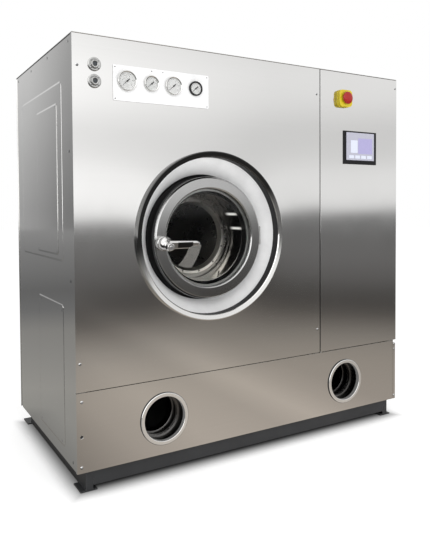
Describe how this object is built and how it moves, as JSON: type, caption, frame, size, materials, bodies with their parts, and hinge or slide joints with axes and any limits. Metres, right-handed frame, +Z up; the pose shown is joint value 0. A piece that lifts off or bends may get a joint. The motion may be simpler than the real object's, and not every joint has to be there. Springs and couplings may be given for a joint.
{
  "type": "dry cleaning machine",
  "caption": "Front-loading dry cleaning machine with glazed round door, turning drum, solvent tanks, gauges, sight glasses, emergency stop and touch panel door.",
  "frame": {"origin": "on the floor, under the middle of the machine's reach in width and depth", "axes": "+Z up, +X to the machine's right seen from its front, +Y from the front to the back"},
  "size_m": [1.75, 1.06, 1.79],
  "materials": {
    "brushed_steel": "brushed stainless sheet",
    "polished_steel": "polished",
    "drum_steel": "rolled perforated stainless sheet",
    "mill_steel": "mill finish",
    "base_paint": "dark grey satin paint",
    "white_enamel": "white satin enamel",
    "rubber": "black, matt",
    "door_glass": "clear toughened",
    "black_plastic": "black, matt",
    "stop_yellow": "signal yellow",
    "stop_red": "signal red",
    "motor_paint": "blue-grey paint"
  },
  "bodies": {
    "cabinet": {"front_panel": "brushed_steel", "lower_panel": "brushed_steel", "left_side_panel": "brushed_steel", "right_side_panel": "brushed_steel", "left_upper_cover": "brushed_steel", "left_lower_cover": "brushed_steel", "top_cover": "brushed_steel", "back_panel": "brushed_steel", "door_trim_ring": "polished_steel", "tub_front": "polished_steel", "door_hinge_pin": "polished_steel", "control_hinge_rod": "polished_steel", "port_ring_left": "polished_steel", "port_ring_right": "polished_steel", "gauge_case_1": "polished_steel", "gauge_case_2": "polished_steel", "gauge_case_3": "polished_steel", "sight_glass_upper": "polished_steel", "sight_glass_lower": "polished_steel", "floor_tray": "mill_steel", "post_front_left": "mill_steel", "post_front_right": "mill_steel", "post_rear_left": "mill_steel", "post_rear_right": "mill_steel", "post_middle": "mill_steel", "tub_shell": "mill_steel", "tub_cradle": "mill_steel", "door_hinge_bracket": "mill_steel", "solvent_tank_left": "mill_steel", "solvent_tank_right": "mill_steel", "distillation_still": "mill_steel", "base_rail_left": "base_paint", "base_rail_right": "base_paint", "base_rail_front": "base_paint", "base_rail_rear": "base_paint", "bearing_housing": "base_paint", "door_surround": "white_enamel", "gauge_plate": "white_enamel", "mouth_gasket": "rubber", "drive_belt": "rubber", "gauge_case_4": "black_plastic", "drive_motor": "motor_paint", "solvent_pump": "motor_paint"},
    "loading_door": {"door_ring": "brushed_steel", "door_glass": "door_glass", "glass_clamp_ring": "mill_steel"},
    "handle": {"door_handle": "polished_steel"},
    "drum": {"drum": "drum_steel", "drum_mouth_ring": "polished_steel", "drum_pulley": "mill_steel"},
    "motor_rotor": {"motor_pulley": "mill_steel"},
    "control_door": {"control_door": "brushed_steel", "touch_panel": "black_plastic", "stop_housing": "stop_yellow"},
    "stop_stem": {"stop_stem": "black_plastic"},
    "stop_cap": {"stop_cap": "stop_red"},
    "needle_1": {"gauge_needle_1": "black_plastic"},
    "needle_2": {"gauge_needle_2": "black_plastic"},
    "needle_3": {"gauge_needle_3": "black_plastic"},
    "needle_4": {"gauge_needle_4": "black_plastic"}
  },
  "joints": [
    {"name": "loading_door_hinge", "type": "hinge", "parent": "cabinet", "child": "loading_door", "pos_m": [0.016, -0.406, 0.988], "axis": [0, 0, 1], "range_deg": [0, 90]},
    {"name": "handle_turn", "type": "hinge", "parent": "loading_door", "child": "handle", "pos_m": [-0.49895, -0.438, 0.97195], "axis": [0, 1, 0], "range_deg": [0, 90]},
    {"name": "drum_spin", "type": "hinge", "parent": "cabinet", "child": "drum", "pos_m": [-0.2635, -0.052, 0.988], "axis": [0, 1, 0], "continuous": true},
    {"name": "motor_spin", "type": "hinge", "parent": "cabinet", "child": "motor_rotor", "pos_m": [0.11975, 0.348, 0.60475], "axis": [0, 1, 0], "continuous": true},
    {"name": "control_door_hinge", "type": "hinge", "parent": "cabinet", "child": "control_door", "pos_m": [0.359, -0.444, 1.096], "axis": [0, 0, -1], "range_deg": [0, 105]},
    {"name": "stop_press", "type": "slide", "parent": "control_door", "child": "stop_stem", "axis": [0, 1, 0], "range_m": [0, 0.005], "stiffness_N_per_m": 800},
    {"name": "stop_twist", "type": "hinge", "parent": "stop_stem", "child": "stop_cap", "pos_m": [0.497, -0.502, 1.656], "axis": [0, 1, 0], "range_deg": [0, 45], "stiffness_Nm_per_rad": 0.3},
    {"name": "gauge_1_sweep", "type": "hinge", "parent": "cabinet", "child": "needle_1", "pos_m": [-0.6545, -0.462, 1.623], "axis": [0, 1, 0], "range_deg": [0, 270], "stiffness_Nm_per_rad": 0.0005},
    {"name": "gauge_2_sweep", "type": "hinge", "parent": "cabinet", "child": "needle_2", "pos_m": [-0.5485, -0.462, 1.623], "axis": [0, 1, 0], "range_deg": [0, 270], "stiffness_Nm_per_rad": 0.0005},
    {"name": "gauge_3_sweep", "type": "hinge", "parent": "cabinet", "child": "needle_3", "pos_m": [-0.449, -0.462, 1.623], "axis": [0, 1, 0], "range_deg": [0, 270], "stiffness_Nm_per_rad": 0.0005},
    {"name": "gauge_4_sweep", "type": "hinge", "parent": "cabinet", "child": "needle_4", "pos_m": [-0.3445, -0.462, 1.623], "axis": [0, 1, 0], "range_deg": [0, 270], "stiffness_Nm_per_rad": 0.0005}
  ],
  "couplings": [
    {"joint": "motor_spin", "follows": "drum_spin", "ratio": 3.588}
  ]
}
